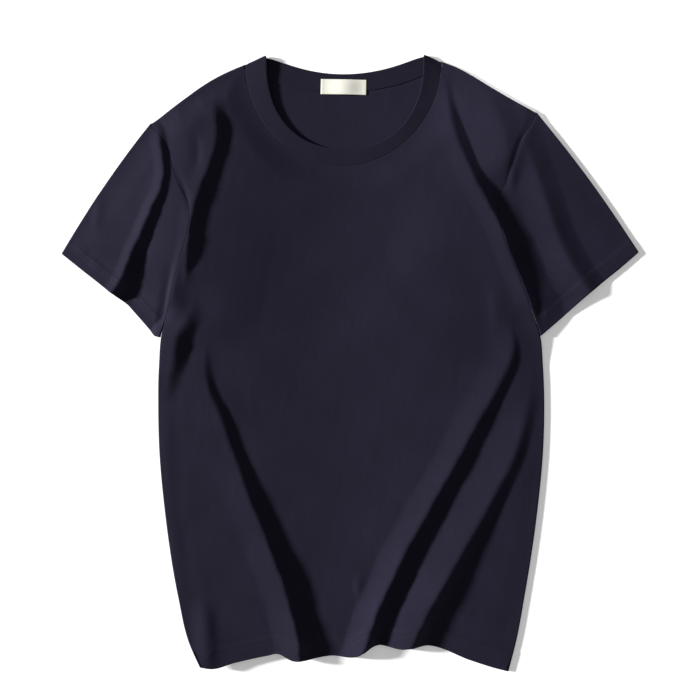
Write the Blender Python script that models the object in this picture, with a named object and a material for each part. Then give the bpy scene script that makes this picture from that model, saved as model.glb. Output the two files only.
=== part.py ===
"""Crew neck t-shirt laid flat, front facing up and neck toward +Y.

Every piece of cloth is a closed wall on one shared middle surface, which runs between the
front layer and the back layer. That surface is level where the shirt lies flat and rises along
the large folds, so both layers follow each fold together. The front layer is the middle surface
moved up along its normal, and the back layer is the same surface moved down.
Sizes are in millimetres until a mesh is made. The origin is the bottom centre of the shirt's box.
"""
from collections import namedtuple

import bpy
import numpy as np

MM = 0.001

# Driving dimensions, in millimetres.
WALL = 1.2                      # one layer of cloth
LAYER_GAP = 0.3                 # between the front layer and the back layer
SEAM_GAP = 0.3                  # between two pieces that are sewn together
NECK_HALF_WIDTH = 105.7         # neck seam, centre to shoulder
NECK_CENTRE = (-7.5, 324.1)     # middle of the line between the two ends of the neck seam
NECK_TILT = 0.0152              # rise of the neckline towards the right shoulder, per mm
RIM_HALF_WIDTH = 86.3           # free edge of the neck rib
RIM_CENTRE = (-5.4, 332.6)
RIM_TILT = 0.0064
SHOULDER_LEFT = (-214.6, 258.3)
SHOULDER_RIGHT = (201.1, 270.2)
LABEL_CENTRE = (-6.8, 298.3)
LABEL_SIZE = (49.0, 16.2)
LABEL_THICKNESS = 1.0
RIM_PULL_REACH = 4.0            # columns over which the rib's edge draws in beside its folds
TOP_EDGE_BOW = 3.0              # how far a sleeve's upper edge bows out between its ends
UNDERARM_ROW = 12               # row of the side edge where the sleeve's lower edge starts

# Counts of cells in the grids.
ROWS = 32
LEFT_CELLS = 10
NECK_CELLS = 26
RIGHT_INNER_CELLS = 5
RIGHT_OUTER_CELLS = 7
YOKE_ROWS = 3
SLEEVE_ROWS = 10
SHOULDER_SPLIT = 3              # parts that each of the top armhole cells is cut into
SPLIT_CELLS = 3
RIB_CELLS = 3
TURN_STEPS = 4                  # steps round a folded edge
SLEEVE_ROW_CROWDING = 1.3       # above 1, a sleeve's rows lie closer together near the armhole
SEARCH_STEPS = 400              # fineness of the search for the point where two lines meet
SETTLE_STEPS = 20               # rounds in which a column's lower end settles on the hem

# How a neck line hangs between its ends: its depth, and the powers of the cosine and the sine of
# the angle that place its points across and down. Two ones make an ellipse, 1 and 2 a parabola.
Hang = namedtuple("Hang", "depth across down")
FRONT_SEAM = Hang(111.0, 1.0, 1.0)
BACK_SEAM = Hang(31.3, 1.0, 1.35)
FRONT_RIM = Hang(101.4, 0.87, 0.87)
BACK_RIM = Hang(21.2, 1.0, 2.0)

# How far a shoulder seam bows out of the straight, and how far its peak lies towards the neck: 1
# puts it half way, and more moves it nearer.
Bow = namedtuple("Bow", "height skew")
LEFT_BOW = Bow(5.2, 1.4)
RIGHT_BOW = Bow(2.7, 2.6)

# The two side edges of the body, from above the shoulders down to the hem: how far each lies
# from the centre line and how high it stands.
Side = namedtuple("Side", "level left left_lift right right_lift")
SIDES = (
    Side(270, -214.6, 0, 201.1, 0),
    Side(258, -214.3, 0, 196.0, 0),
    Side(237, -198.0, 0, 181.5, 0),
    Side(218, -191.6, 0, 174.5, 0),
    Side(197, -185.4, 0, 168.5, 0),
    Side(170, -172.5, 0, 158.5, 1),
    Side(140, -174.5, 0, 164.0, 3),
    Side(105, -184.5, 0, 177.3, 4),
    Side(65, -193.5, 0, 192.5, 4),
    Side(28, -203.0, 0, 204.6, 2),
    Side(0, -205.2, 2, 208.1, 0),
    Side(-80, -205.9, 4.5, 209.1, 0),
    Side(-165, -198.4, 5.5, 201.5, 0),
    Side(-250, -184.9, 5.5, 188.6, 0),
    Side(-300, -173.1, 5, 179.3, 0),
    Side(-332, -158.8, 4.5, 171.0, 0),
)

# The crests of the three long folds of the body, and of the lines that carry on from them
# to the shoulders, which only guide the grid.
Crest = namedtuple("Crest", "level left left_lift middle middle_lift right right_lift")
CRESTS = (
    Crest(325, -113.6, 0, 98.5, 0, 132.0, 0),
    Crest(285, -126.6, 0, 111.0, 0, 139.0, 0),
    Crest(230, -130.9, 0, 115.0, 0, 142.0, 0),
    Crest(175, -134.8, 0, 122.0, 0, 142.5, 0),
    Crest(120, -139.8, 0, 138.0, 0, 156.0, 0),
    Crest(60, -150.0, 0, 164.0, 0, 180.0, 0),
    Crest(30, -154.0, 0, 175.0, 1.8, 190.0, 0),
    Crest(3, -157.0, 0.4, 172.0, 3, 194.0, 0),
    Crest(-24, -154.0, 2.4, 159.5, 3.6, 195.0, 0),
    Crest(-60, -139.3, 4.4, 139.0, 5, 188.5, 1.4),
    Crest(-100, -125.2, 4.8, 117.5, 5.8, 175.8, 3.2),
    Crest(-150, -106.5, 6.6, 89.0, 6.4, 150.6, 4.6),
    Crest(-200, -86.0, 8, 61.0, 7.8, 122.8, 6.2),
    Crest(-250, -68.0, 9.2, 37.0, 9.8, 94.0, 8.8),
    Crest(-290, -57.6, 10.2, 21.0, 10.4, 72.4, 9.2),
    Crest(-332, -51.7, 11, 8.5, 9.8, 54.4, 9),
)

# How far each fold spreads to the left and to the right of its crest, and how its left side
# falls: 2 makes a bell, and less makes a fuller back that ends more abruptly.
Spread = namedtuple("Spread", "left power right")
SPREADS = {
    "left_side": Spread(14, 2, 80),
    "left": Spread(90, 1, 17),
    "middle": Spread(60, 2, 15),
    "right": Spread(34, 1, 15),
    "right_side": Spread(40, 2, 30),
}

# Shorter folds: the crest's place and height at even steps from the top level to the bottom one.
Fold = namedtuple("Fold", "name top bottom across height spread")
FOLDS = (
    Fold("shoulder", 288, 72, (-150.5, -145.6, -144.8, -150.8, -160.5, -167.3, -172.4, -174.6, -176, -178),
         (0, 4.6, 5.5, 6.8, 8.2, 8.6, 8.9, 9.2, 5.6, 0), Spread(50, 1, 14)),
    Fold("waist", 82.5, -40, (-170, -174, -186.5, -190.6, -195.4, -201.4), (0, 4.5, 8.5, 7, 5, 0),
         Spread(30, 2, 13)),
    Fold("neck_to_arm", 296, -4,
         (108.8, 110, 115.3, 124.3, 135.6, 149.8, 162.1, 171, 182, 191.7, 200.5, 205.5, 208.5),
         (0, 1, 3.4, 4.6, 5.9, 7.4, 8, 7.6, 7, 5.6, 3.2, 0.8, 0), Spread(80, 2, 13)),
    Fold("left_sleeve", 262, 74, (-207.3, -205.1, -200.8, -203, -212.1, -222.6, -233.7, -242.3, -256.8),
         (0, 5.5, 7.5, 9, 10.5, 11, 11, 10.6, 9.6), Spread(60, 1.5, 14)),
    Fold("right_sleeve", 241, 74, (185, 196, 207, 219, 231.5, 254), (2, 3.6, 3.8, 4.8, 5.6, 4),
         Spread(30, 2, 36)),
    Fold("left_chest", 250, -30, (-146.8, -156.1, -169, -176, -185.4, -190.4, -193.8, -199.7),
         (0, 2.2, 3, 4.6, 6.8, 5, 1.5, 0), Spread(45, 2, 95)),
    Fold("right_shoulder", 300, 188, (142, 155, 166, 166, 152), (1, 4, 4.4, 4, 0), Spread(45, 2, 35)),
)

# How far the rib's free edge stands above the back of the neck, at even steps of angle along the
# front neckline from the left shoulder to the right one.
RIM_RISE = (3.6, 2.0, 1.4, 1.1, 0.9, 0.8, 0.9, 1.3, 2.0, 2.6, 3.2)

# Edges drawn by a few points each, from left to right or from the tip down.
Point = namedtuple("Point", "across along")
HEM = (
    Point(-161, -326.5), Point(-150, -328.3), Point(-122, -322), Point(-86, -314.5), Point(-73, -312.5),
    Point(-60, -319.5), Point(-48, -319.5), Point(-20, -315), Point(10, -314.5), Point(24, -305),
    Point(57, -307.5), Point(80, -304), Point(127, -320), Point(155, -328.5), Point(171, -332.3),
)
LEFT_CUFF = (
    Point(-310.5, 118.6), Point(-286.6, 99.7), Point(-271, 87.7), Point(-259.5, 78.5),
    Point(-239.2, 63.6), Point(-223.2, 45.8), Point(-208.5, 28),
)
RIGHT_CUFF = (
    Point(310.9, 120.2), Point(291, 102.9), Point(271.9, 87.6), Point(257.5, 75.7),
    Point(244.9, 64.5), Point(226.3, 48), Point(211, 32),
)

Dye = namedtuple("Dye", "red green blue roughness")
JERSEY = Dye(0.019, 0.017, 0.028, 0.92)
RIB = Dye(0.022, 0.020, 0.031, 0.92)
SATIN = Dye(0.80, 0.79, 0.74, 0.45)


# ---------------------------------------------------------------- curves and the middle surface

def smooth(levels, values, at):
    """A smooth curve through the values, with the slope at each level taken from its neighbours."""
    order = np.argsort(levels)
    x = np.asarray(levels, float)[order]
    v = np.asarray(values, float)[order]
    slope = np.gradient(v, x)
    at = np.clip(at, x[0], x[-1])
    k = np.clip(np.searchsorted(x, at, side="right") - 1, 0, len(x) - 2)
    width = x[k + 1] - x[k]
    t = (at - x[k]) / width
    rise = (2 * t ** 3 - 3 * t ** 2 + 1) * v[k] + (3 * t ** 2 - 2 * t ** 3) * v[k + 1]
    lean = (t ** 3 - 2 * t ** 2 + t) * slope[k] + (t ** 3 - t ** 2) * slope[k + 1]
    return rise + lean * width


def column(rows, name):
    """One named column of a table."""
    return [getattr(row, name) for row in rows]


def table_line(rows, name):
    """The function of the level that a table's column gives."""
    levels = column(rows, "level")
    values = column(rows, name)
    return lambda y: smooth(levels, values, y)


def short_line(fold, values):
    """The function of the level that a short fold's values give."""
    levels = np.linspace(fold.top, fold.bottom, len(values))
    return lambda y: smooth(levels, values, y)


GUIDES = [table_line(SIDES, "left"), table_line(CRESTS, "left"), table_line(CRESTS, "middle"),
          table_line(CRESTS, "right"), table_line(SIDES, "right")]

RIDGES = [
    (GUIDES[0], table_line(SIDES, "left_lift"), SPREADS["left_side"]),
    (GUIDES[1], table_line(CRESTS, "left_lift"), SPREADS["left"]),
    (GUIDES[2], table_line(CRESTS, "middle_lift"), SPREADS["middle"]),
    (GUIDES[3], table_line(CRESTS, "right_lift"), SPREADS["right"]),
    (GUIDES[4], table_line(SIDES, "right_lift"), SPREADS["right_side"]),
]
RIDGES += [(short_line(fold, fold.across), short_line(fold, fold.height), fold.spread) for fold in FOLDS]


def relief(x, y):
    """Height of the folds: each is a ridge across its crest, and ridges that meet merge."""
    step = 1.0
    total = np.zeros(np.shape(x))
    for crest, height, spread in RIDGES:
        slope = (crest(y + step) - crest(y - step)) / (2 * step)
        across = (x - crest(y)) / np.sqrt(1 + slope ** 2)
        reach = np.where(across < 0, spread.left, spread.right)
        power = np.where(across < 0, spread.power, 2)
        shape = np.cos(np.pi / 2 * np.clip(np.abs(across) / reach, 0, 1)) ** power
        total += (np.maximum(height(y), 0) * shape) ** 3
    return np.cbrt(total)


def lift(plan):
    """Middle surface over plan points: the points and the normals there."""
    x, y = plan[..., 0], plan[..., 1]
    step = 0.5
    dx = (relief(x + step, y) - relief(x - step, y)) / (2 * step)
    dy = (relief(x, y + step) - relief(x, y - step)) / (2 * step)
    points = np.stack([x, y, WALL + LAYER_GAP / 2 + relief(x, y)], axis=-1)
    normals = np.stack([-dx, -dy, np.ones(np.shape(x))], axis=-1)
    return points, normals / np.linalg.norm(normals, axis=-1, keepdims=True)


def neck_curve(angles, centre, half_width, tilt, hang):
    """A line hung between the shoulders, from the left end to the right end."""
    x = -half_width * np.sign(np.cos(angles)) * np.abs(np.cos(angles)) ** hang.across
    y = -hang.depth * np.abs(np.sin(angles)) ** hang.down
    return np.stack([centre[0] + x, centre[1] + y + tilt * x], axis=-1)


def neck_seam(angles, hang):
    return neck_curve(angles, NECK_CENTRE, NECK_HALF_WIDTH, NECK_TILT, hang)


def neck_rim(angles, hang):
    return neck_curve(angles, RIM_CENTRE, RIM_HALF_WIDTH, RIM_TILT, hang)


# ---------------------------------------------------------------- the body's grid

def across_guides(place, y):
    """Distance from the centre line at a place between the guides: 0 is the left edge, 4 the right."""
    lines = np.stack([guide(y) for guide in GUIDES])
    first = np.clip(np.floor(place).astype(int), 0, len(GUIDES) - 2)
    part = place - first
    index = np.arange(len(place))
    return (1 - part) * lines[first, index] + part * lines[first + 1, index]


def place_of(points):
    """The place between the guides of points on the top edge."""
    places = []
    for x, y in points:
        lines = np.array([guide(y) for guide in GUIDES])
        places.append(float(np.interp(x, lines, np.arange(len(GUIDES)))))
    return np.array(places)


def shoulder_seam(shoulder, neck_end, bow, shares):
    """Points at some shares of the way from the shoulder to the neck, bowed upwards by half a sine
    wave in a power of the share."""
    run = np.array(neck_end) - np.array(shoulder)
    square = np.array([-run[1], run[0]]) / np.hypot(*run) * np.sign(run[0])
    rise = bow.height * np.sin(np.pi * shares ** bow.skew)
    return np.array(shoulder) + shares[:, None] * run + rise[:, None] * square


def top_edge():
    """The body's upper edge, from the left shoulder along the front neckline to the right one. On
    the right shoulder one column starts where the seam meets the right guide."""
    angles = np.linspace(0, np.pi, NECK_CELLS + 1)
    neck = neck_seam(angles, FRONT_SEAM)
    fine = np.linspace(0, 1, SEARCH_STEPS + 1)
    seam = shoulder_seam(SHOULDER_RIGHT, neck[-1], RIGHT_BOW, fine)
    turn = fine[np.argmin(np.abs(seam[:, 0] - GUIDES[3](seam[:, 1])))]
    left = np.linspace(0, 1, LEFT_CELLS, endpoint=False)
    right = np.concatenate([np.linspace(1, turn, RIGHT_INNER_CELLS, endpoint=False)[1:],
                            np.linspace(turn, 0, RIGHT_OUTER_CELLS + 1)])
    return np.concatenate([
        shoulder_seam(SHOULDER_LEFT, neck[0], LEFT_BOW, left),
        neck,
        shoulder_seam(SHOULDER_RIGHT, neck[-1], RIGHT_BOW, right),
    ])


def body_plan():
    """Rows of plan points from the top edge down to the hem, in columns that follow the guides."""
    top = top_edge()
    places = place_of(top)
    places[0], places[-1] = 0, len(GUIDES) - 1
    hem_x, hem_y = column(HEM, "across"), column(HEM, "along")
    bottom = np.full(len(places), float(np.mean(hem_y)))
    for _ in range(SETTLE_STEPS):
        bottom = np.interp(across_guides(places, bottom), hem_x, hem_y)
    rows = []
    for part in np.linspace(0, 1, ROWS + 1):
        y = (1 - part) * top[:, 1] + part * bottom
        x = across_guides(places, y) if part else top[:, 0]
        rows.append(np.stack([x, y], axis=-1))
    return np.array(rows)


def yoke_plan():
    """The back panel above the front neckline: rows from the back neckline down to the front one."""
    angles = np.linspace(0, np.pi, NECK_CELLS + 1)
    front = neck_seam(angles, FRONT_SEAM)
    back = neck_seam(angles, BACK_SEAM)
    return np.array([(1 - part) * back + part * front for part in np.linspace(0, 1, YOKE_ROWS + 1)])


# ---------------------------------------------------------------- meshes

def material(name, dye):
    made = bpy.data.materials.new(name)
    made.use_nodes = True
    shader = made.node_tree.nodes["Principled BSDF"]
    shader.inputs["Base Color"].default_value = (dye.red, dye.green, dye.blue, 1)
    shader.inputs["Roughness"].default_value = dye.roughness
    shader.inputs["Metallic"].default_value = 0
    return made


def grid_faces(rows, columns, closed=False, start=0):
    """Triangles of a grid, two to a cell, facing up when rows run down and columns run right."""
    faces = []
    for r in range(rows - 1):
        for c in range(columns if closed else columns - 1):
            d = (c + 1) % columns
            a, b = start + r * columns + c, start + r * columns + d
            e, f = start + (r + 1) * columns + c, start + (r + 1) * columns + d
            faces += [(a, e, f), (a, f, b)]
    return faces


def merged(points, faces):
    """Number points that lie together as one, and leave out triangles that close up."""
    numbers = {}
    first = [numbers.setdefault(tuple(np.round(p, 4)), k) for k, p in enumerate(points)]
    faces = [tuple(first[k] for k in face) for face in faces]
    return [face for face in faces if len(set(face)) == 3]


def rim_edges(faces):
    """Directed edges that only one triangle has."""
    edges = {(f[k], f[(k + 1) % 3]) for f in faces for k in range(3)}
    return [edge for edge in edges if (edge[1], edge[0]) not in edges]


def wall(name, points, outward, faces, low, high, dye, collection):
    """A closed wall: the surface moved along its outward normals by low and by high, and joined
    along its open edges. Surface points whose outer copies lie together become one."""
    points = points.reshape(-1, 3)
    outward = outward.reshape(-1, 3)
    faces = merged(points + outward * high, faces)
    count = len(points)
    vertices = np.concatenate([points + outward * high, points + outward * low])
    shell = list(faces)
    shell += [(c + count, b + count, a + count) for a, b, c in faces]
    for a, b in sorted(rim_edges(faces)):
        shell += [(b, a, a + count), (b, a + count, b + count)]
    used = sorted({k for face in shell for k in face})
    renumber = {old: new for new, old in enumerate(used)}
    mesh = bpy.data.meshes.new(name)
    mesh.from_pydata((vertices[used] * MM).tolist(), [],
                     [tuple(renumber[k] for k in face) for face in shell])
    mesh.materials.append(material(name + "_cloth", dye))
    piece = bpy.data.objects.new(name, mesh)
    collection.objects.link(piece)
    return piece


# ---------------------------------------------------------------- pieces

def front_panel(plan, collection):
    points, up = lift(plan)
    faces = grid_faces(*plan.shape[:2])
    wall("front_panel", points, up, faces, LAYER_GAP / 2, LAYER_GAP / 2 + WALL, JERSEY, collection)


def back_panel(plan, yoke, collection):
    """The same rows as the front, and the yoke above them, one layer lower and facing down."""
    points, up = lift(np.concatenate([plan.reshape(-1, 2), yoke.reshape(-1, 2)]))
    faces = grid_faces(*plan.shape[:2])
    faces += grid_faces(*yoke.shape[:2], start=plan.shape[0] * plan.shape[1])
    faces = [face[::-1] for face in faces]
    wall("back_panel", points, -up, faces, LAYER_GAP / 2, LAYER_GAP / 2 + WALL, JERSEY, collection)


def flattened_ring(points, up, ends):
    """One turn round a flattened tube.

    The upper layer runs through the points with its normals outward, each end goes round a half
    circle in the direction given for it, and the lower layer comes back with the normals turned.
    """
    first, last = ends
    turns = np.linspace(0, np.pi, TURN_STEPS + 1)[1:-1]
    round_last = [np.cos(a) * up[-1] + np.sin(a) * last for a in turns]
    round_first = [-np.cos(a) * up[0] + np.sin(a) * first for a in turns]
    ring = np.concatenate([points, [points[-1]] * len(turns), points[::-1], [points[0]] * len(turns)])
    outward = np.concatenate([up, round_last, -up[::-1], round_first])
    return ring, outward


def unit(vector):
    return vector / np.linalg.norm(vector)


def armhole(points, up, outside):
    """The sleeve's inner edge: the body's own edge points, moved out by the seam's gap.

    The cells next to the shoulder are split, so that the sleeve's columns can fan out from it.
    """
    count = UNDERARM_ROW
    parts = []
    for k in range(count):
        parts += list(np.linspace(k, k + 1, SHOULDER_SPLIT if k < SPLIT_CELLS else 1, endpoint=False))
    parts.append(count)
    first = np.minimum(np.floor(parts).astype(int), count - 1)
    share = (np.array(parts) - first)[:, None]
    tangent = np.gradient(points[:, :2], axis=0)
    away = np.stack([-tangent[:, 1], tangent[:, 0]], axis=-1) * outside
    away /= np.linalg.norm(away, axis=-1, keepdims=True)
    moved = points + np.pad(away, ((0, 0), (0, 1))) * SEAM_GAP
    seam = (1 - share) * moved[first] + share * moved[first + 1]
    return seam, (1 - share) * up[first] + share * up[first + 1]


def sleeve(name, edge, cuff_table, outside, collection):
    """A flattened tube from the armhole to the cuff, folded along its upper and lower edges."""
    seam, seam_up = armhole(*lift(edge), outside)
    cuff_points = np.array(cuff_table)
    run = np.concatenate([[0], np.cumsum(np.linalg.norm(np.diff(cuff_points, axis=0), axis=1))])
    share = np.linspace(0, 1, len(seam))
    cuff = np.stack([np.interp(share * run[-1], run, cuff_points[:, k]) for k in (0, 1)], axis=-1)
    top = cuff[0] - seam[0, :2]
    bow = unit(np.array([-top[1], top[0]])) * outside * TOP_EDGE_BOW
    half = WALL + LAYER_GAP / 2
    rings = []
    for part in np.linspace(0, 1, SLEEVE_ROWS + 1) ** SLEEVE_ROW_CROWDING:
        plan = (1 - part) * seam[:, :2] + part * cuff
        plan += np.sin(np.pi * part) * ((1 - share) ** 3)[:, None] * bow
        first, last = unit(plan[0] - plan[1]), unit(plan[-1] - plan[-2])
        points, up = lift(plan)
        if part == 0:
            points, up = seam.copy(), seam_up
        points[0, :2] -= first * half
        points[-1, :2] -= last * half
        rings.append(flattened_ring(points, up, (np.append(first, 0), np.append(last, 0))))
    points = np.array([ring[0] for ring in rings])
    outward = np.array([ring[1] for ring in rings])
    faces = grid_faces(*points.shape[:2], closed=True)
    if outside > 0:
        faces = [face[::-1] for face in faces]
    wall(name, points, outward, faces, LAYER_GAP / 2, LAYER_GAP / 2 + WALL, JERSEY, collection)


def away_from_neck(seam, rim):
    """Level direction square to the rib's folded edge, away from the neck."""
    edge = rim - seam
    return unit(np.array([-edge[1], edge[0]])) * np.sign(edge[0])


def rib_layer(angles, seam_hang, rim_hang, pulls):
    """Grid from the neck seam to the rib's free edge, with the panel's own normals at the seam.

    Beside the two folded ends it draws in by the pulls, so that the fold's round edge comes no
    further out than the rib's outline.
    """
    seam = neck_seam(angles, seam_hang)
    rim = neck_rim(angles, rim_hang)
    count = np.arange(len(angles))
    inward = (rim - seam) / np.linalg.norm(rim - seam, axis=-1, keepdims=True)
    points, up = [], []
    for part, pull in zip(np.linspace(0, 1, RIB_CELLS + 1), pulls):
        plan = (1 - part) * seam + part * rim + SEAM_GAP * inward
        for end, from_end in ((0, count), (-1, count[::-1])):
            fade = np.where(from_end == 0, 1, part * np.exp(-(from_end / RIM_PULL_REACH) ** 2))
            plan -= fade[:, None] * pull[end] * away_from_neck(seam[end], rim[end])
        layer, normal = lift(plan)
        points.append(layer)
        up.append(normal)
    return np.array(points), np.array(up)


def neck_rib(collection):
    """The rib's ring: the front half on the front layer, rising to its free edge, and the back
    half on the back layer. The ring turns over at both shoulders in a half circle whose radius is
    half the rise there."""
    angles = np.linspace(0, np.pi, NECK_CELLS + 1)
    rise = smooth(np.linspace(0, np.pi, len(RIM_RISE)), RIM_RISE, angles)
    shares = np.linspace(0, 1, RIB_CELLS + 1)
    pulls = WALL + LAYER_GAP / 2 + shares[:, None] * rise[[0, -1]] / 2
    front, front_up = rib_layer(angles, FRONT_SEAM, FRONT_RIM, pulls)
    back, back_up = rib_layer(angles, BACK_SEAM, BACK_RIM, pulls)
    ends = [neck_seam(angles, FRONT_SEAM), neck_rim(angles, FRONT_RIM)]
    turns = np.linspace(0, np.pi, TURN_STEPS + 1)[1:-1]
    rings, outward = [], []
    for k, share in enumerate(shares):
        back[k, [0, -1]], back_up[k, [0, -1]] = front[k, [0, -1]], front_up[k, [0, -1]]
        turned, turned_up = [], []
        for end in (-1, 0):
            over = np.append(away_from_neck(ends[0][end], ends[1][end]), 0)
            radius = share * rise[end] / 2
            middle = front[k, end] + [0, 0, radius]
            round_up = np.array([np.cos(a) * front_up[k, end] + np.sin(a) * over for a in turns])
            round_up = round_up if end else round_up[::-1]
            turned.append(middle + radius * round_up)
            turned_up.append(round_up)
        front[k, :, 2] += share * rise
        rings.append(np.concatenate([front[k], turned[0], back[k, ::-1], turned[1]]))
        outward.append(np.concatenate([front_up[k], turned_up[0], -back_up[k, ::-1], turned_up[1]]))
    points, outward = np.array(rings), np.array(outward)
    faces = [face[::-1] for face in grid_faces(*points.shape[:2], closed=True)]
    wall("neck_rib", points, outward, faces, LAYER_GAP / 2, LAYER_GAP / 2 + WALL, RIB, collection)


def neck_label(collection):
    """A small flat tab on the inside of the back neck, over the rib and its seam."""
    x = LABEL_CENTRE[0] + LABEL_SIZE[0] * np.linspace(-0.5, 0.5, 7)
    y = LABEL_CENTRE[1] + LABEL_SIZE[1] * np.linspace(0.5, -0.5, 3)
    plan = np.stack(np.meshgrid(x, y), axis=-1)
    points, up = lift(plan)
    faces = grid_faces(*plan.shape[:2])
    rest = -LAYER_GAP / 2 + SEAM_GAP
    wall("neck_label", points, up, faces, rest, rest + LABEL_THICKNESS, SATIN, collection)


def centre(collection):
    """Move every piece so that the bottom centre of the whole box is at the origin."""
    corners = np.array([v.co[:] for piece in collection.objects for v in piece.data.vertices])
    low, high = corners.min(axis=0), corners.max(axis=0)
    shift = np.array([-(low[0] + high[0]) / 2, -(low[1] + high[1]) / 2, -low[2]])
    for piece in collection.objects:
        for vertex in piece.data.vertices:
            vertex.co = [a + b for a, b in zip(vertex.co, shift)]


def build():
    for old in list(bpy.data.objects):
        bpy.data.objects.remove(old)
    collection = bpy.data.collections.new("crew_neck_t_shirt")
    bpy.context.scene.collection.children.link(collection)
    plan = body_plan()
    front_panel(plan, collection)
    back_panel(plan, yoke_plan(), collection)
    sleeve("sleeve_left", plan[:, 0], LEFT_CUFF, -1, collection)
    sleeve("sleeve_right", plan[:, -1], RIGHT_CUFF, 1, collection)
    neck_rib(collection)
    neck_label(collection)
    centre(collection)


build()
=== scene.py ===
"""Crew neck t-shirt laid flat: the finished cloth, its sewing, and the studio round it.

Both layers of the shirt lie on one shared surface, level where the shirt lies flat and raised
along its folds, worked out from tables like the solids' own. Each panel is a thin shell on
that surface, with finer creases, turned hems and seams added. Tables and shapes are in
millimetres in the pattern's own frame, and `to_frame` moves them to the part's frame in metres.
"""

from collections import namedtuple

import bpy
import mathutils
import numpy as np
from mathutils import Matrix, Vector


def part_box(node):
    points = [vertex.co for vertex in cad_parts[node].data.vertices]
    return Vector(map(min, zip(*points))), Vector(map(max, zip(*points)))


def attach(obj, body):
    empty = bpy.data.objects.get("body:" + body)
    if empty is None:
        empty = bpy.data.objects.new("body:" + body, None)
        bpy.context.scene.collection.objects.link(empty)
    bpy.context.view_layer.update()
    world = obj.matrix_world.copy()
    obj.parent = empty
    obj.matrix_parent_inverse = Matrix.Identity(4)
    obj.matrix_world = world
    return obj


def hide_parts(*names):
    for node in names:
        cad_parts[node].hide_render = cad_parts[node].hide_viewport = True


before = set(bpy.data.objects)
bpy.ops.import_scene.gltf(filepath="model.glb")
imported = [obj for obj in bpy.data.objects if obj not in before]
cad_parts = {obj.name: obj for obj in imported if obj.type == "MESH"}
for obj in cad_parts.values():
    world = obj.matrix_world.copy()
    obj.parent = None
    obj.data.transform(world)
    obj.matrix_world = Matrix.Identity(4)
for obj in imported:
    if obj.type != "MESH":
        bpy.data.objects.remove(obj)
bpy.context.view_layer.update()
MM = 0.001

# ---------------------------------------------------------------- sizes, in millimetres

LAYER_GAP = 0.3                 # between the front layer and the back layer of the solids
WALL = 1.2                      # one layer of the solids
MIDDLE = WALL + LAYER_GAP / 2   # height of the shared surface above the floor
FACE = 1.25                     # from the shared surface to the cloth's face
LINING_SIDE = 0.4               # from the shared surface to the cloth's other side
SEAM_GAP = 0.3
NECK_HALF_WIDTH = 105.7
NECK_CENTRE = (-7.5, 324.1)
NECK_TILT = 0.0152
RIM_HALF_WIDTH = 86.3
RIM_CENTRE = (-5.4, 332.6)
RIM_TILT = 0.0064
SHOULDER_LEFT = (-214.6, 258.3)
SHOULDER_RIGHT = (201.1, 270.2)
UNDERARM_SHARE = 0.375          # of the way from the shoulder to the hem
LABEL_CENTRE = (-6.8, 298.3)
LABEL_SIZE = (49.0, 16.2)
TOP_EDGE_BOW = 3.0

# How a neck line hangs between its ends: its depth, and the powers of the cosine and the sine of
# the angle that place its points across and down. Two ones make an ellipse, 1 and 2 a parabola.
Hang = namedtuple("Hang", "depth across down")
FRONT_SEAM = Hang(111.0, 1.0, 1.0)
BACK_SEAM = Hang(31.3, 1.0, 1.35)
FRONT_RIM = Hang(101.4, 0.87, 0.87)
BACK_RIM = Hang(21.2, 1.0, 2.0)

# How far a shoulder seam bows out of the straight, and how far its peak lies towards the neck: 1
# puts it half way, and more moves it nearer.
Bow = namedtuple("Bow", "height skew")
LEFT_BOW = Bow(5.2, 1.4)
RIGHT_BOW = Bow(2.7, 2.6)

# The body's two side edges as it lies, and how far each stands up from the level part.
Side = namedtuple("Side", "level left left_lift right right_lift")
SIDES = (
    Side(270, -214.6, 0, 201.1, 0),
    Side(258, -214.3, 0, 196.0, 0),
    Side(237, -198.0, 0, 181.5, 0),
    Side(218, -191.6, 0, 174.5, 0),
    Side(197, -185.4, 0, 168.5, 0),
    Side(170, -172.5, 0, 158.5, 1),
    Side(140, -174.5, 0, 164.0, 3),
    Side(105, -184.5, 0, 177.3, 4),
    Side(65, -193.5, 0, 192.5, 4),
    Side(28, -203.0, 0, 205.5, 2),
    Side(0, -205.2, 2, 208.1, 0),
    Side(-80, -205.9, 4.5, 209.1, 0),
    Side(-165, -198.4, 6, 201.5, 0),
    Side(-250, -184.9, 7, 188.6, 0),
    Side(-300, -173.1, 7.5, 179.3, 0),
    Side(-332, -158.8, 7.5, 171.0, 0),
)

# The three long folds: where each crest runs, and how high it is.
Crest = namedtuple("Crest", "level left left_lift middle middle_lift right right_lift")
CRESTS = (
    Crest(60, -150.0, 0, 164.0, 0, 180.0, 0),
    Crest(30, -154.0, 0.5, 175.0, 1.8, 190.0, 0),
    Crest(3, -157.0, 2.2, 172.0, 3, 194.0, 0),
    Crest(-24, -154.0, 3.8, 159.5, 3.6, 195.0, 0.3),
    Crest(-60, -139.3, 4.5, 139.0, 5, 188.5, 1.8),
    Crest(-100, -125.2, 4.8, 117.5, 5.8, 175.8, 3.2),
    Crest(-150, -106.5, 6.6, 89.0, 6.4, 150.6, 4.6),
    Crest(-200, -86.0, 8, 61.0, 7.8, 122.8, 6.2),
    Crest(-250, -68.0, 9.2, 37.0, 9.8, 94.0, 8.8),
    Crest(-290, -57.6, 10.2, 21.0, 10.4, 72.4, 9.2),
    Crest(-332, -51.7, 11, 8.5, 9.8, 54.4, 9),
)

# The two sides of a fold. On the left is a gentle rise, `lead` long, straight where `belly` is 1,
# hollow where it is more and full where it is less, and a last steep rise, `steep` long, which
# makes `share` of the height. On the right is a drop, `lee` long. `radius` is the rounding of the
# crest.
Flank = namedtuple("Flank", "lead belly steep share lee radius")
UPPER_LEVEL, LOWER_LEVEL = 0, -320
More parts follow.
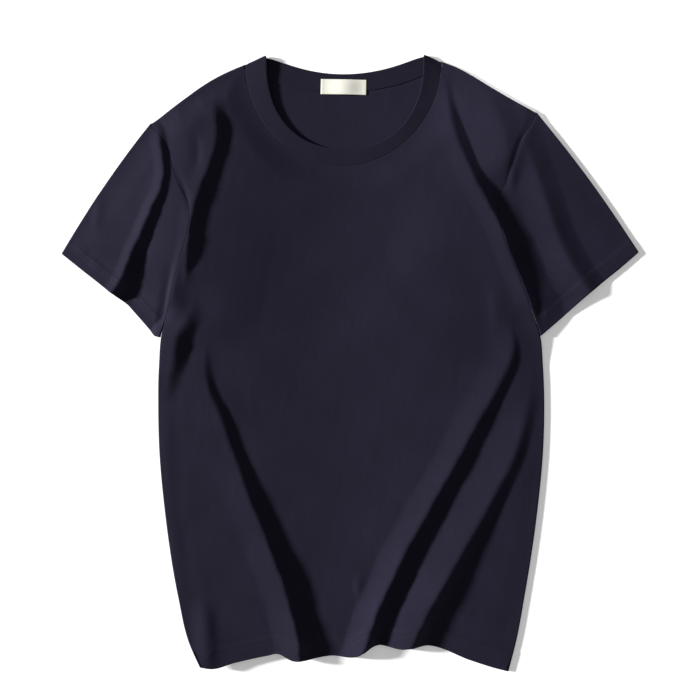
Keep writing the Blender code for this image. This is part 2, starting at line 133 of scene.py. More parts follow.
# Flanks of the long folds at the upper level and at the lower one.
FLANKS = {
    "left_side": (Flank(14, 1.0, 14, 0.0, 90, 1.5), Flank(14, 1.0, 14, 0.0, 105, 1.5)),
    "left": (Flank(62, 0.45, 24, 0.0, 10, 1.5), Flank(118, 0.22, 26, 0.52, 16, 1.5)),
    "middle": (Flank(110, 1.3, 24, 0.5, 9, 1.5), Flank(70, 1.3, 22, 0.9, 14, 1.5)),
    "right": (Flank(36, 1.2, 18, 0.1, 9, 1.5), Flank(34, 0.8, 18, 0.0, 14, 1.5)),
    "right_side": (Flank(60, 1.4, 20, 0.2, 34, 1.5), Flank(60, 1.4, 20, 0.2, 34, 1.5)),
}

# The shorter folds: the levels of both ends, and at even steps between them, where the crest runs
# and how high it is.
Fold = namedtuple("Fold", "name top bottom across height flank")
FOLDS = (
    Fold("shoulder", 288, 72,
         (-150.5, -145.6, -144.8, -150.8, -160.5, -167.3, -172.4, -174.6, -176, -178),
         (0, 4.6, 5.5, 6.8, 8.2, 8.6, 8.9, 9.2, 5.6, 0), Flank(58, 0.28, 12, 0.12, 12, 1.5)),
    Fold("waist", 82.5, -52, (-168, -172.5, -188.5, -192.5, -197, -201.5), (0, 5.4, 9.3, 8, 6.2, 0),
         Flank(20, 0.3, 12, 0.0, 17, 5)),
    Fold("neck_to_arm", 321, -4,
         (99, 103.3, 107, 113.6, 124.3, 135.6, 149.8, 162.1, 171, 182, 191.7, 200.5, 205.5, 208.5),
         (0, 1.9, 3.7, 4.5, 5.2, 6.2, 7.4, 8, 7.6, 7, 5.6, 3.2, 0.8, 0),
         Flank(120, 1.3, 16, 0.2, 10, 1.5)),
    Fold("left_sleeve", 262, 74, (-207.3, -205.1, -200.8, -203, -212.1, -222.6, -233.7, -242.3, -256.8),
         (0, 5.5, 7.5, 9, 10.5, 11, 11, 10.6, 9.6), Flank(75, 1.1, 9, 0.25, 12, 1.5)),
    Fold("right_sleeve", 241, 74, (188, 200, 211.5, 222.5, 238.5, 260), (1.6, 2.6, 3.1, 3.7, 4.1, 4),
         Flank(34, 1.8, 20, 0.0, 18, 3)),
    Fold("left_chest", 250, -30, (-146.8, -156.1, -169, -176, -185.4, -190.4, -193.8, -199.7),
         (0, 2.2, 3, 4.6, 6.8, 5, 1.5, 0), Flank(45, 1.0, 10, 0.1, 95, 1.5)),
    Fold("right_shoulder", 300, 188, (142, 155, 166, 166, 152), (1, 4, 4.4, 4, 0),
         Flank(42, 1.1, 20, 0.0, 32, 6)),
)

# How far the rib's free edge stands up, at even steps of angle along the front neckline.
RIM_RISE = (3.6, 2.0, 1.4, 1.1, 0.9, 0.8, 0.9, 1.3, 2.0, 2.6, 3.2)

# The hem as it lies, from left to right, and the cuffs, each from its outer tip to the underarm.
Point = namedtuple("Point", "across along")
HEM = (
    Point(-161, -326.5), Point(-150, -328.3), Point(-122, -322), Point(-86, -314.5), Point(-73, -312.5),
    Point(-60, -319.5), Point(-48, -319.5), Point(-20, -315), Point(10, -314.5), Point(24, -305),
    Point(57, -307.5), Point(80, -304), Point(127, -320), Point(155, -328.5), Point(171, -332.3),
)
LEFT_CUFF = (
    Point(-310.5, 118.6), Point(-286.6, 99.7), Point(-271, 87.7), Point(-259.5, 78.5),
    Point(-239.2, 63.6), Point(-223.2, 45.8), Point(-209.5, 30), Point(-204.2, 28.5),
)
RIGHT_CUFF = (
    Point(310.9, 120.2), Point(291, 102.9), Point(271.9, 87.6), Point(257.5, 75.7),
    Point(244.9, 64.5), Point(226.3, 48), Point(205.4, 30.3),
)

# Small creases: each runs along a path, reaches so far to its left and right, and fades out at
# both ends. Left is the side on the left hand of someone who walks along the path.
Crease = namedtuple("Crease", "name path left right height")
CREASES = (
    Crease("left sleeve, beside the armhole", ((-190, 112), (-196.5, 75), (-204, 36)), 2.2, 6, -1.2),
    Crease("above the waist fold", ((-173, 92), (-171, 62), (-173, 36)), 24, 14, -2.0),
    Crease("left sleeve, outer ridge", ((-268, 182), (-272, 160), (-273, 138)), 7, 5, 0.8),
    Crease("left sleeve, by the cuff", ((-279, 118), (-274, 108), (-266, 101)), 5, 5, 0.6),
    Crease("left sleeve, cuff tip", ((-296, 132), (-289, 124), (-280, 119)), 5, 4, 0.5),
    Crease("left shoulder, upper dimple", ((-193, 272), (-184, 268), (-176, 260)), 6, 5, 0.7),
    Crease("left shoulder, lower dimple", ((-166, 284), (-158, 280), (-153, 271)), 5, 5, 0.6),
    Crease("left chest, inner valley", ((-166, 250), (-163, 228), (-166, 204)), 4, 6, -0.9),
    Crease("left armhole seam", ((-187, 208), (-180, 193), (-174, 176), (-172, 156)), 3, 2.5, -0.9),
    Crease("left armhole, lower end", ((-178, 138), (-186, 100), (-194, 64), (-203, 34)), 3, 4, 0.6),
    Crease("left side, upper", ((-200, -20), (-197.5, -80), (-195.5, -139), (-188, -200)), 10, 7, 1.0),
    Crease("left side, lower", ((-192, -160), (-187, -205), (-176, -275)), 10, 7, 1.1),
    Crease("left of the hem", ((-158, -250), (-154.5, -290), (-153, -350)), 9, 11, 2.2),
    Crease("middle of the hem", ((9, -224), (9, -240), (11, -258)), 6, 4, 0.7),
    Crease("right side, upper", ((155, 92), (157, 62), (163, 32)), 14, 8, 1.0),
    Crease("right armhole", ((177, 214), (175, 198), (174, 180)), 5, 5, 0.8),
    Crease("right armhole seam", ((199, 268), (182, 238), (174, 214), (167, 186)), 3, 2.5, -0.9),
)


# ---------------------------------------------------------------- curves

def smooth(levels, values, at):
    """A smooth curve through the values, with the slope at each level taken from its neighbours."""
    order = np.argsort(levels)
    x = np.asarray(levels, float)[order]
    v = np.asarray(values, float)[order]
    slope = np.gradient(v, x)
    at = np.clip(at, x[0], x[-1])
    k = np.clip(np.searchsorted(x, at, side="right") - 1, 0, len(x) - 2)
    width = x[k + 1] - x[k]
    t = (at - x[k]) / width
    rise = (2 * t ** 3 - 3 * t ** 2 + 1) * v[k] + (3 * t ** 2 - 2 * t ** 3) * v[k + 1]
    lean = (t ** 3 - 2 * t ** 2 + t) * slope[k] + (t ** 3 - t ** 2) * slope[k + 1]
    return rise + lean * width


def column(rows, name):
    """One named column of a table."""
    return [getattr(row, name) for row in rows]


def table_line(rows, name):
    """The function of the level that a table's column gives."""
    levels = column(rows, "level")
    values = column(rows, name)
    return lambda y: smooth(levels, values, y)


def short_line(fold, values):
    """The function of the level that a short fold's values give."""
    levels = np.linspace(fold.top, fold.bottom, len(values))
    return lambda y: smooth(levels, values, y)


LEFT_EDGE = table_line(SIDES, "left")
RIGHT_EDGE = table_line(SIDES, "right")
RIDGES = [
    (LEFT_EDGE, table_line(SIDES, "left_lift"), FLANKS["left_side"]),
    (table_line(CRESTS, "left"), table_line(CRESTS, "left_lift"), FLANKS["left"]),
    (table_line(CRESTS, "middle"), table_line(CRESTS, "middle_lift"), FLANKS["middle"]),
    (table_line(CRESTS, "right"), table_line(CRESTS, "right_lift"), FLANKS["right"]),
    (RIGHT_EDGE, table_line(SIDES, "right_lift"), FLANKS["right_side"]),
]
RIDGES += [(short_line(fold, fold.across), short_line(fold, fold.height), (fold.flank, fold.flank))
           for fold in FOLDS]


def along_line(line, x, y):
    """Nearest point of a line of straight runs: the signed distance to it, negative on the right
    hand of someone who walks along the line, and how far along the line it is, from 0 to 1."""
    nearest = np.full(np.shape(x), np.inf)
    signed = np.zeros(np.shape(x))
    share = np.zeros(np.shape(x))
    for k, (start, end) in enumerate(zip(line[:-1], line[1:])):
        run = end - start
        ahead = np.clip(((x - start[0]) * run[0] + (y - start[1]) * run[1]) / (run @ run), 0, 1)
        gap_x, gap_y = x - start[0] - ahead * run[0], y - start[1] - ahead * run[1]
        gap = np.hypot(gap_x, gap_y)
        closer = gap < nearest
        hand = np.sign(run[0] * gap_y - run[1] * gap_x)
        nearest = np.where(closer, gap, nearest)
        signed = np.where(closer, gap * hand, signed)
        share = np.where(closer, (k + ahead) / (len(line) - 1), share)
    return signed, share


def curve_through(points, count=13):
    """Points along a smooth curve through a few given ones."""
    points = np.array(points, float)
    at = np.linspace(0, len(points) - 1, count)
    return np.stack([smooth(np.arange(len(points)), points[:, k], at) for k in (0, 1)], axis=-1)


def distances(line):
    """How far along a line each of its points is."""
    return np.concatenate([[0], np.cumsum(np.linalg.norm(np.diff(line, axis=0), axis=-1))])


def between(at, along, rows):
    """Rows of values at the distances `at`, read between those given at the distances `along`."""
    return np.stack([np.interp(at, along, rows[:, k]) for k in range(rows.shape[1])], axis=-1)


def unit(vectors):
    """Vectors of the same directions, 1 long."""
    return vectors / np.linalg.norm(vectors, axis=-1, keepdims=True)


def square_to(run):
    """Direction on the plan square to a run, on the left hand of someone who walks along it."""
    return unit(np.array([-run[1], run[0]]))


def ease(t):
    """0 below 0, 1 above 1, and smooth between."""
    t = np.clip(t, 0, 1)
    return t * t * (3 - 2 * t)


# ---------------------------------------------------------------- the surface of the cloth

CREST_FALL = 1.3                # above 1, a fold is steepest beside its crest
# A sine wave: its length, its heading in turns from the x axis, its offset and its height.
Wave = namedtuple("Wave", "length heading offset height")
# How far crests wander to their sides, and the height from which a fold does so fully.
CREST_WAVES = (
    Wave(61, 0.25, 0.4, 0.5),
    Wave(23, 0.25, 2.1, 0.35),
    Wave(13, 0.25, 5.0, 0.2),
)
FULL_WANDER_HEIGHT = 10.0
# The slack of the upper layer.
SLACK_WAVES = (
    Wave(151, 0.04, 0.3, 0.26),
    Wave(97, 0.29, 1.1, 0.18),
    Wave(71, 0.90, 2.0, 0.13),
    Wave(52, 0.14, 4.1, 0.09),
    Wave(37, 0.78, 0.9, 0.055),
    Wave(24, 0.22, 3.3, 0.03),
    Wave(17, 0.97, 5.2, 0.016),
)
SLACK = 0.9                     # mean slack, which keeps the upper layer above the lower one
SLACK_FADE = 30.0               # distance from the shirt's edge over which the slack grows
# Broad swells of the upper layer, each a bell with its middle, its two reaches and its height.
Swell = namedtuple("Swell", "across along wide high height")
SWELLS = (
    Swell(-130, 130, 90, 130, 6.0),
    Swell(84, 84, 70, 88, 5.0),
    Swell(-178, -205, 85, 110, 1.6),
)
LOOSE_HEM_BAND = 20.0           # height of the turned hem
CUFF_BAND = 15.0
BAND_THICKNESS = 0.35           # of the cloth turned under at a hem
PRESSED_STEP = 3.0              # width of the step where the turned cloth ends


def waves(table, x, y):
    """Sum of a table's waves, each a sine of the distance along its own heading."""
    total = np.zeros(np.shape(x))
    for wave in table:
        heading = 2 * np.pi * wave.heading
        along = x * np.cos(heading) + y * np.sin(heading)
        total += wave.height * np.sin(2 * np.pi * along / wave.length + wave.offset)
    return total


def gentle_rise(part, belly):
    """Height of a fold's gentle side, from 1 at the crest, where part is 0, to 0 at its foot."""
    return np.where(belly > 1, (1 - part) ** belly, 1 - part ** (1 / belly))


def ridges(x, y):
    """Height of the folds. Each falls away on both sides of its crest, and folds that meet merge
    by the cube root of the sum of their cubes."""
    step = 1.0
    wander = waves(CREST_WAVES, x, y)
    total = np.zeros(np.shape(x))
    up = np.clip((y - LOWER_LEVEL) / (UPPER_LEVEL - LOWER_LEVEL), 0, 1)
    for crest, height, (upper, lower) in RIDGES:
        lead, belly, steep, share, lee, radius = (up * a + (1 - up) * b for a, b in zip(upper, lower))
        slope = (crest(y + step) - crest(y - step)) / (2 * step)
        tall = np.maximum(height(y), 0)
        middle = crest(y) + wander * np.clip(tall / FULL_WANDER_HEIGHT, 0, 1)
        across = (x - middle) / np.sqrt(1 + slope ** 2)
        away = np.sqrt(across ** 2 + radius ** 2) - radius
        rise = share * np.clip(1 - away / steep, 0, 1) ** CREST_FALL
        rise += (1 - share) * gentle_rise(np.clip(away / lead, 0, 1), belly)
        drop = np.clip(1 - away / lee, 0, 1) ** CREST_FALL
        total += (tall * np.where(across < 0, rise, drop)) ** 3
    return np.cbrt(total)


def creases(x, y):
    """Height of the small creases: bell-shaped across, and fading to nothing at both ends."""
    total = np.zeros(np.shape(x))
    for crease in CREASES:
        gap, share = along_line(curve_through(crease.path), x, y)
        reach = np.where(gap > 0, crease.left, crease.right)
        total += crease.height * np.exp(-(gap / reach) ** 2) * np.sin(np.pi * share)
    return total


def relief(x, y):
    """Height of the shared surface above its level part. It never dips below that."""
    return np.maximum(ridges(x, y) + creases(x, y), 0)


def slack(x, y):
    """Extra height of the upper layer, which bellies gently up from the shirt's edges."""
    gap, _ = along_line(OUTLINE, x, y)
    swells = sum(s.height * np.exp(-((x - s.across) / s.wide) ** 2 - ((y - s.along) / s.high) ** 2)
                 for s in SWELLS)
    return (SLACK + waves(SLACK_WAVES, x, y) + swells) * ease(np.abs(gap) / SLACK_FADE)


def upper_height(x, y):
    """Height of the upper layer. The lower layer's is the relief alone."""
    return relief(x, y) + slack(x, y)


def lift(plan, height):
    """Points of the shared surface over a plan, and its upward normals, from the height's slopes."""
    x, y = plan[..., 0], plan[..., 1]
    step = 0.6
    dx = (height(x + step, y) - height(x - step, y)) / (2 * step)
    dy = (height(x, y + step) - height(x, y - step)) / (2 * step)
    points = np.stack([x, y, MIDDLE + height(x, y)], axis=-1)
    return points, unit(np.stack([-dx, -dy, np.ones(np.shape(x))], axis=-1))


def neck_curve(angles, centre, half_width, tilt, hang):
    """A line hung between the shoulders, from the left end to the right end."""
    x = -half_width * np.sign(np.cos(angles)) * np.abs(np.cos(angles)) ** hang.across
    y = -hang.depth * np.abs(np.sin(angles)) ** hang.down
    return np.stack([centre[0] + x, centre[1] + y + tilt * x], axis=-1)


def neck_seam(angles, hang):
    """The seam between the rib and the body."""
    return neck_curve(angles, NECK_CENTRE, NECK_HALF_WIDTH, NECK_TILT, hang)


def neck_rim(angles, hang):
    """The rib's free edge."""
    return neck_curve(angles, RIM_CENTRE, RIM_HALF_WIDTH, RIM_TILT, hang)


def shoulder_seam(shoulder, neck_end, bow, parts):
    """Points from the shoulder up to, not including, the neck, bowed upwards by half a sine wave
    whose argument is raised to the bow's skew."""
    part = np.linspace(0, 1, parts, endpoint=False)[:, None]
    run = np.array(neck_end) - np.array(shoulder)
    rise = bow.height * np.sin(np.pi * part ** bow.skew)
    return np.array(shoulder) + part * run + rise * square_to(run) * np.sign(run[0])


SEAM_POINTS, NECK_POINTS, SIDE_POINTS = 8, 40, 60   # in the runs of the outline


def side_line(edge, shoulder, hem_end):
    """A side edge of the body, from the underarm down to the hem."""
    y = shoulder[1] + np.linspace(UNDERARM_SHARE, 1, SIDE_POINTS) * (hem_end[1] - shoulder[1])
    return np.stack([edge(y), y], axis=-1)


def sleeve_top(shoulder, cuff_tip, outside):
    """A sleeve's upper edge, a shallow bow from the shoulder to the cuff's tip."""
    part = np.linspace(0, 1, SEAM_POINTS)[:, None]
    run = np.array(cuff_tip) - np.array(shoulder)
    rise = TOP_EDGE_BOW * np.sin(np.pi * part)
    return np.array(shoulder) + part * run + rise * square_to(run) * outside


def outline():
    """The shirt's whole outline as it lies, from the left shoulder round to it again, without the
    points where one run repeats the last point of the run before it."""
    neck = neck_seam(np.linspace(0, np.pi, NECK_POINTS), FRONT_SEAM)
    line = np.concatenate([
        shoulder_seam(SHOULDER_LEFT, neck[0], LEFT_BOW, SEAM_POINTS),
        neck,
        shoulder_seam(SHOULDER_RIGHT, neck[-1], RIGHT_BOW, SEAM_POINTS)[::-1],
        sleeve_top(SHOULDER_RIGHT, RIGHT_CUFF[0], 1),
        RIGHT_CUFF,
        side_line(RIGHT_EDGE, SHOULDER_RIGHT, HEM[-1]),
        HEM[::-1],
        side_line(LEFT_EDGE, SHOULDER_LEFT, HEM[0])[::-1],
        LEFT_CUFF[::-1],
        sleeve_top(SHOULDER_LEFT, LEFT_CUFF[0], -1)[::-1],
    ])
    moved = np.any(np.diff(line, axis=0) != 0, axis=-1)
    return line[np.append(True, moved)]


OUTLINE = outline()


# ---------------------------------------------------------------- meshes

def frame_shift():
    """From the pattern's frame to the part's: the label's solid shows where the pattern lies."""
    low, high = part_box("neck_label")
    return np.array([(low[0] + high[0]) / 2 / MM - LABEL_CENTRE[0],
                     (low[1] + high[1]) / 2 / MM - LABEL_CENTRE[1], 0])


SHIFT = frame_shift()


def to_frame(points):
    """Points of the pattern, in metres in the part's frame."""
    return (points.reshape(-1, 3) + SHIFT) * MM


def new_piece(name, points, faces, material, cloth=None):
    """A mesh object with smooth faces of four or more corners. cloth holds each point's distance
    over the cloth in metres, across and along, which becomes the UV map that the weave reads."""
    mesh = bpy.data.meshes.new(name)
    corners = np.asarray(faces, np.int32)
    count, sides = corners.shape
    mesh.vertices.add(len(points))
    mesh.vertices.foreach_set("co", to_frame(points).astype(np.float32).ravel())
    mesh.loops.add(corners.size)
    mesh.loops.foreach_set("vertex_index", corners.ravel())
    mesh.polygons.add(count)
    mesh.polygons.foreach_set("loop_start", np.arange(0, corners.size, sides, dtype=np.int32))
    mesh.polygons.foreach_set("use_smooth", np.ones(count, bool))
    if cloth is not None:
        layer = mesh.uv_layers.new(name="cloth")
        layer.data.foreach_set("uv", cloth.reshape(-1, 2)[corners.ravel()].astype(np.float32).ravel())
    mesh.materials.append(material)
    mesh.update()
    mesh.validate()
    piece = bpy.data.objects.new(name, mesh)
    bpy.context.scene.collection.objects.link(piece)
    return piece


def grid_quads(rows, columns, start=0, closed_rows=False, closed_columns=False):
    """Four-cornered faces of a grid, facing up when rows run down and columns run right."""
    r, c = np.meshgrid(np.arange(rows if closed_rows else rows - 1),
                       np.arange(columns if closed_columns else columns - 1), indexing="ij")
    below, right = (r + 1) % rows, (c + 1) % columns
    corners = [r * columns + c, below * columns + c, below * columns + right, r * columns + right]
    return start + np.stack(corners, axis=-1).reshape(-1, 4)


def border(rows, columns):
    """Numbers of a grid's edge points, clockwise from the first when seen from above."""
    number = np.arange(rows * columns).reshape(rows, columns)
    return np.concatenate([number[0, :-1], number[:-1, -1], number[-1, :0:-1], number[:0:-1, 0]])


def cloth_lengths(points):
    """Distance over the cloth of each point of a grid, in metres: across from the middle column,
    and along from the first row."""
    across = np.linalg.norm(np.diff(points, axis=1), axis=-1)
    across = np.pad(np.cumsum(across, axis=1), ((0, 0), (1, 0)))
    across -= across[:, points.shape[1] // 2, None]
    along = np.linalg.norm(np.diff(points, axis=0), axis=-1)
    along = np.pad(np.cumsum(along, axis=0), ((1, 0), (0, 0)))
    return np.stack([across, -along], axis=-1) * MM


ROLL = np.radians([28, 56, 83])     # angles of the points round a panel's rolled edge
END_TURNS = 4                       # steps round the fold that closes a tube's end
SHORTEST = 1e-6                     # the least length that is divided by


def panel(name, plan, height, facing, face, rolled, material):
    """A panel's shell. The face is the surface moved out by `face` along its normals and the other
    side is moved by LINING_SIDE. Along the edges where `rolled` is 1 the panel rolls over in a
    quarter circle to meet its neighbour's roll, and where it is 0 it ends in a rounded fold."""
    rows, columns = plan.shape[:2]
    points, normals = lift(plan, height)
    out = normals * facing
    loop = border(rows, columns)
    edge, edge_out = points.reshape(-1, 3)[loop], out.reshape(-1, 3)[loop]
    edge_face = np.broadcast_to(face, (rows, columns)).reshape(-1)[loop][:, None]
    roll = np.broadcast_to(rolled, (rows, columns)).reshape(-1)[loop][:, None]
    tangent = np.roll(edge, -1, axis=0) - np.roll(edge, 1, axis=0)
    away = unit(np.cross(edge_out * facing, tangent))
    half = (edge_face - LINING_SIDE) / 2
    inset = roll * edge_face + (1 - roll) * half
    flat = points.reshape(-1, 3)
    flat[loop] = edge = edge - away * inset
    rings = []
    for k, angle in enumerate(np.concatenate([ROLL, ROLL[::-1]])):
        radius = edge_face if k < len(ROLL) else LINING_SIDE
        quarter = radius * (np.cos(angle) * edge_out + np.sin(angle) * away)
        turn = np.pi * (k + 1) / (2 * len(ROLL) + 1)
        fold = edge_out * (LINING_SIDE + half) + half * (np.cos(turn) * edge_out + np.sin(turn) * away)
        rings.append(edge + roll * quarter + (1 - roll) * fold)
    count = rows * columns
    outer = flat + (out * np.broadcast_to(face, (rows, columns))[..., None]).reshape(-1, 3)
    inner = flat + out.reshape(-1, 3) * LINING_SIDE
    vertices = np.concatenate([outer, inner, *rings])
    lines = [loop] + [2 * count + k * len(loop) + np.arange(len(loop)) for k in range(len(rings))]
    lines.append(count + loop)
    faces = [grid_quads(rows, columns), grid_quads(rows, columns, count)[:, ::-1]]
    for near, far in zip(lines[:-1], lines[1:]):
        faces.append(np.stack([near, np.roll(near, -1), np.roll(far, -1), far], axis=-1))
    faces = np.concatenate(faces)
    if facing < 0:
        faces = faces[:, ::-1]
    cloth = cloth_lengths(points.reshape(rows, columns, 3)).reshape(-1, 2)
    cloth = np.concatenate([cloth, cloth] + [cloth[loop]] * len(rings))
    return new_piece(name, vertices, faces, material, cloth)


def tube(name, points, outward, face, facing, material):
    """A closed tube's shell: the rings moved out by `face` and by LINING_SIDE, joined at both ends
    by a rounded fold. Rows run from the first end to the last, and columns go round."""
    rows, columns = points.shape[:2]
    face = np.broadcast_to(face, (rows, columns))[..., None]
    outer, inner = points + outward * face, points + outward * LINING_SIDE
    rounded = []
    for end, toward in ((-1, points[-1] - points[-2]), (0, points[0] - points[1])):
        toward = toward - outward[end] * np.sum(toward * outward[end], axis=-1, keepdims=True)
        toward /= np.maximum(np.linalg.norm(toward, axis=-1, keepdims=True), SHORTEST)
        half = (outer[end] - inner[end]) / 2
        radius = np.linalg.norm(half, axis=-1, keepdims=True)
        angles = np.linspace(0, np.pi, END_TURNS + 1)[1:-1]
        if end == 0:
            angles = angles[::-1]
        middle = (outer[end] + inner[end]) / 2
        rounded.append(np.array([middle + np.cos(a) * half + np.sin(a) * radius * toward
                                 for a in angles]))
    section = np.concatenate([outer, rounded[0], inner[::-1], rounded[1]])
    faces = grid_quads(*section.shape[:2], closed_rows=True, closed_columns=True)
    if facing < 0:
        faces = faces[:, ::-1]
    run = cloth_lengths(points)
    cloth = np.concatenate([run, [run[-1]] * len(rounded[0]), run[::-1], [run[0]] * len(rounded[1])])
    return new_piece(name, section.reshape(-1, 3), faces, material, cloth)


# ---------------------------------------------------------------- finishes

def linear(hex_colour):
    """An sRGB hex colour as linear red, green, blue and alpha."""
    parts = np.array([int(hex_colour[k:k + 2], 16) for k in (1, 3, 5)]) / 255
    parts = np.where(parts <= 0.04045, parts / 12.92, ((parts + 0.055) / 1.055) ** 2.4)
    return (*[float(part) for part in parts], 1.0)


MATH = "ShaderNodeMath"
NOISE = "ShaderNodeTexNoise"
BUMP = "ShaderNodeBump"


def add(tree, kind, inputs=(), **settings):
    """Add a shader node: settings are its own fields, and inputs pair a socket with its value, with
    the socket that feeds it, or with the node whose first socket does."""
    made = tree.nodes.new(kind)
    for field, value in settings.items():
        setattr(made, field, value)
    for socket, value in dict(inputs).items():
        if isinstance(value, bpy.types.Node):
            value = value.outputs[0]
        if isinstance(value, bpy.types.NodeSocket):
            tree.links.new(value, made.inputs[socket])
        else:
            made.inputs[socket].default_value = value
    return made


def new_material(name):
    """A material, its tree of nodes, its shader, and the object's own coordinates in the tree."""
    material = bpy.data.materials.new(name)
    material.use_nodes = True
    tree = material.node_tree
    place = add(tree, "ShaderNodeTexCoord").outputs["Object"]
    return material, tree, tree.nodes["Principled BSDF"], place


def knit_height(tree, wale, course, reach):
    """Height of plain knitting, from 0 to 1, over the cloth's own lengths. Each stitch is a V: two
    legs that slope up from the middle of the wale, with a groove between wales and between rows.
    reach is how many rows a leg climbs."""
    lengths = add(tree, "ShaderNodeUVMap", uv_map="cloth")
    split = add(tree, "ShaderNodeSeparateXYZ", {0: lengths})
    wales = add(tree, MATH, {0: split.outputs[0], 1: wale * MM}, operation="DIVIDE")
    across = add(tree, MATH, {0: wales}, operation="FRACT")
    from_middle = add(tree, MATH, {0: across, 1: 0.5}, operation="SUBTRACT")
    half_leg = add(tree, MATH, {0: from_middle}, operation="ABSOLUTE")
    leg = add(tree, MATH, {0: half_leg, 1: 2.0}, operation="MULTIPLY")
    row = add(tree, MATH, {0: split.outputs[1], 1: course * MM}, operation="DIVIDE")
    climb = add(tree, MATH, {0: leg, 1: reach}, operation="MULTIPLY")
    phase = add(tree, MATH, {0: row, 1: climb}, operation="SUBTRACT")
    turn = add(tree, MATH, {0: phase, 1: 2 * np.pi}, operation="MULTIPLY")
    wave = add(tree, MATH, {0: turn}, operation="COSINE")
    yarn = add(tree, MATH, {0: wave, 1: 0.5, 2: 0.5}, operation="MULTIPLY_ADD")
    leg_edge = add(tree, MATH, {0: leg, 1: 4.0}, operation="POWER")
    groove = add(tree, MATH, {0: 1.0, 1: leg_edge}, operation="SUBTRACT")
    return add(tree, MATH, {0: yarn, 1: groove}, operation="MULTIPLY"), split


def jersey(name, shade, light_shade):
    """Reactive-dyed combed cotton in plain single jersey, 150 g/m2: matt, with a faint bloom of
    fibre ends where it turns away, and slightly uneven yarn along the wales."""
    material, tree, shader, place = new_material(name)
    # Real wales are 0.75 mm apart. They are drawn a little coarser, so that they show.
    height, split = knit_height(tree, wale=1.15, course=0.95, reach=0.75)
    # Streaks of thicker yarn, about 2.2 mm wide and 26 mm long.
    streak_x = add(tree, MATH, {0: split.outputs[0], 1: 1 / (2.2 * MM)}, operation="MULTIPLY")
    streak_y = add(tree, MATH, {0: split.outputs[1], 1: 1 / (26 * MM)}, operation="MULTIPLY")
    lengths = add(tree, "ShaderNodeCombineXYZ", {0: streak_x, 1: streak_y})
    streaks = add(tree, NOISE, {"Vector": lengths, "Scale": 1.0, "Detail": 3.0})
    clouds = add(tree, NOISE, {"Vector": place, "Scale": 22.0, "Detail": 4.0})
    cloud_part = add(tree, MATH, {0: clouds, 1: 0.4}, operation="MULTIPLY")
    mixed = add(tree, MATH, {0: streaks, 1: 0.6, 2: cloud_part}, operation="MULTIPLY_ADD")
    tone = add(tree, "ShaderNodeValToRGB", {0: mixed})
    tone.color_ramp.elements[0].position = 0.32
    tone.color_ramp.elements[0].color = linear(shade)
    tone.color_ramp.elements[1].position = 0.68
    tone.color_ramp.elements[1].color = linear(light_shade)
    fuzz = add(tree, NOISE, {"Vector": place, "Scale": 900.0, "Detail": 2.0})
    pile = add(tree, MATH, {0: fuzz, 1: 0.35, 2: height}, operation="MULTIPLY_ADD")
    bump = add(tree, BUMP, {"Height": pile, "Strength": 0.35, "Distance": 0.18 * MM})
    tree.links.new(tone.outputs[0], shader.inputs["Base Color"])
    tree.links.new(bump.outputs[0], shader.inputs["Normal"])
    shader.inputs["Roughness"].default_value = 0.9
    shader.inputs["Specular IOR Level"].default_value = 0.12
    shader.inputs["Sheen Weight"].default_value = 0.02
    shader.inputs["Sheen Roughness"].default_value = 0.55
    shader.inputs["Sheen Tint"].default_value = linear("#8c8aa0")
    return material


def satin(name):
    """Woven polyester satin, cream: long smooth floats along the weft give it a soft shine."""
    material, tree, shader, place = new_material(name)
    drawn_out = add(tree, "ShaderNodeMapping", {"Vector": place, "Scale": (600, 3600, 600)})
    weave = add(tree, NOISE, {"Vector": drawn_out, "Scale": 1.0, "Detail": 2.0})
    bump = add(tree, BUMP, {"Height": weave, "Strength": 0.3, "Distance": 0.1 * MM})
    tone = add(tree, "ShaderNodeValToRGB", {0: weave})
    tone.color_ramp.elements[0].color = linear("#d9d6c8")
    tone.color_ramp.elements[1].color = linear("#e6e4da")
    tree.links.new(tone.outputs[0], shader.inputs["Base Color"])
    tree.links.new(bump.outputs[0], shader.inputs["Normal"])
    shader.inputs["Roughness"].default_value = 0.42
    return material


def thread(name, shade):
    """Spun polyester sewing thread, dyed to match and a touch brighter than the cloth."""
    material, tree, shader, place = new_material(name)
    twist = add(tree, NOISE, {"Vector": place, "Scale": 2500.0})
    bump = add(tree, BUMP, {"Height": twist, "Strength": 0.3, "Distance": 0.1 * MM})
    tree.links.new(bump.outputs[0], shader.inputs["Normal"])
    shader.inputs["Base Color"].default_value = linear(shade)
    shader.inputs["Roughness"].default_value = 0.6
    return material


def glowing_floor(name):
    """A white matt floor that gives off a faint even glow of its own: painted light, which lightens the
    shadows cast on it.
    """
    material, tree, shader, place = new_material(name)
    grain = add(tree, NOISE, {"Vector": place, "Scale": 400.0})
    bump = add(tree, BUMP, {"Height": grain, "Strength": 0.05, "Distance": 0.05 * MM})
    tree.links.new(bump.outputs[0], shader.inputs["Normal"])
    shader.inputs["Base Color"].default_value = linear("#f4f4f4")
    shader.inputs["Roughness"].default_value = 0.9
    shader.inputs["Specular IOR Level"].default_value = 0.1
    # Painted light: the floor glows by itself, so the shadows cast on it are lighter.
    shader.inputs["Emission Color"].default_value = (1, 1, 1, 1)
    shader.inputs["Emission Strength"].default_value = FLOOR_PAINTED_GLOW
    return material


JERSEY = jersey("single_jersey_navy", "#191625", "#1e1b2b")
# 1x1 rib of the same yarn. Its colour is set a touch darker than the jersey's: painted shade for the
# light lost between its ribs.
RIB = jersey("rib_knit_navy", "#171421", "#1b1927")
SATIN = satin("woven_satin_cream")
THREAD = thread("sewing_thread_navy", "#191724")
LABEL_THREAD = thread("sewing_thread_cream", "#cfccbe")


# ---------------------------------------------------------------- the body's panels

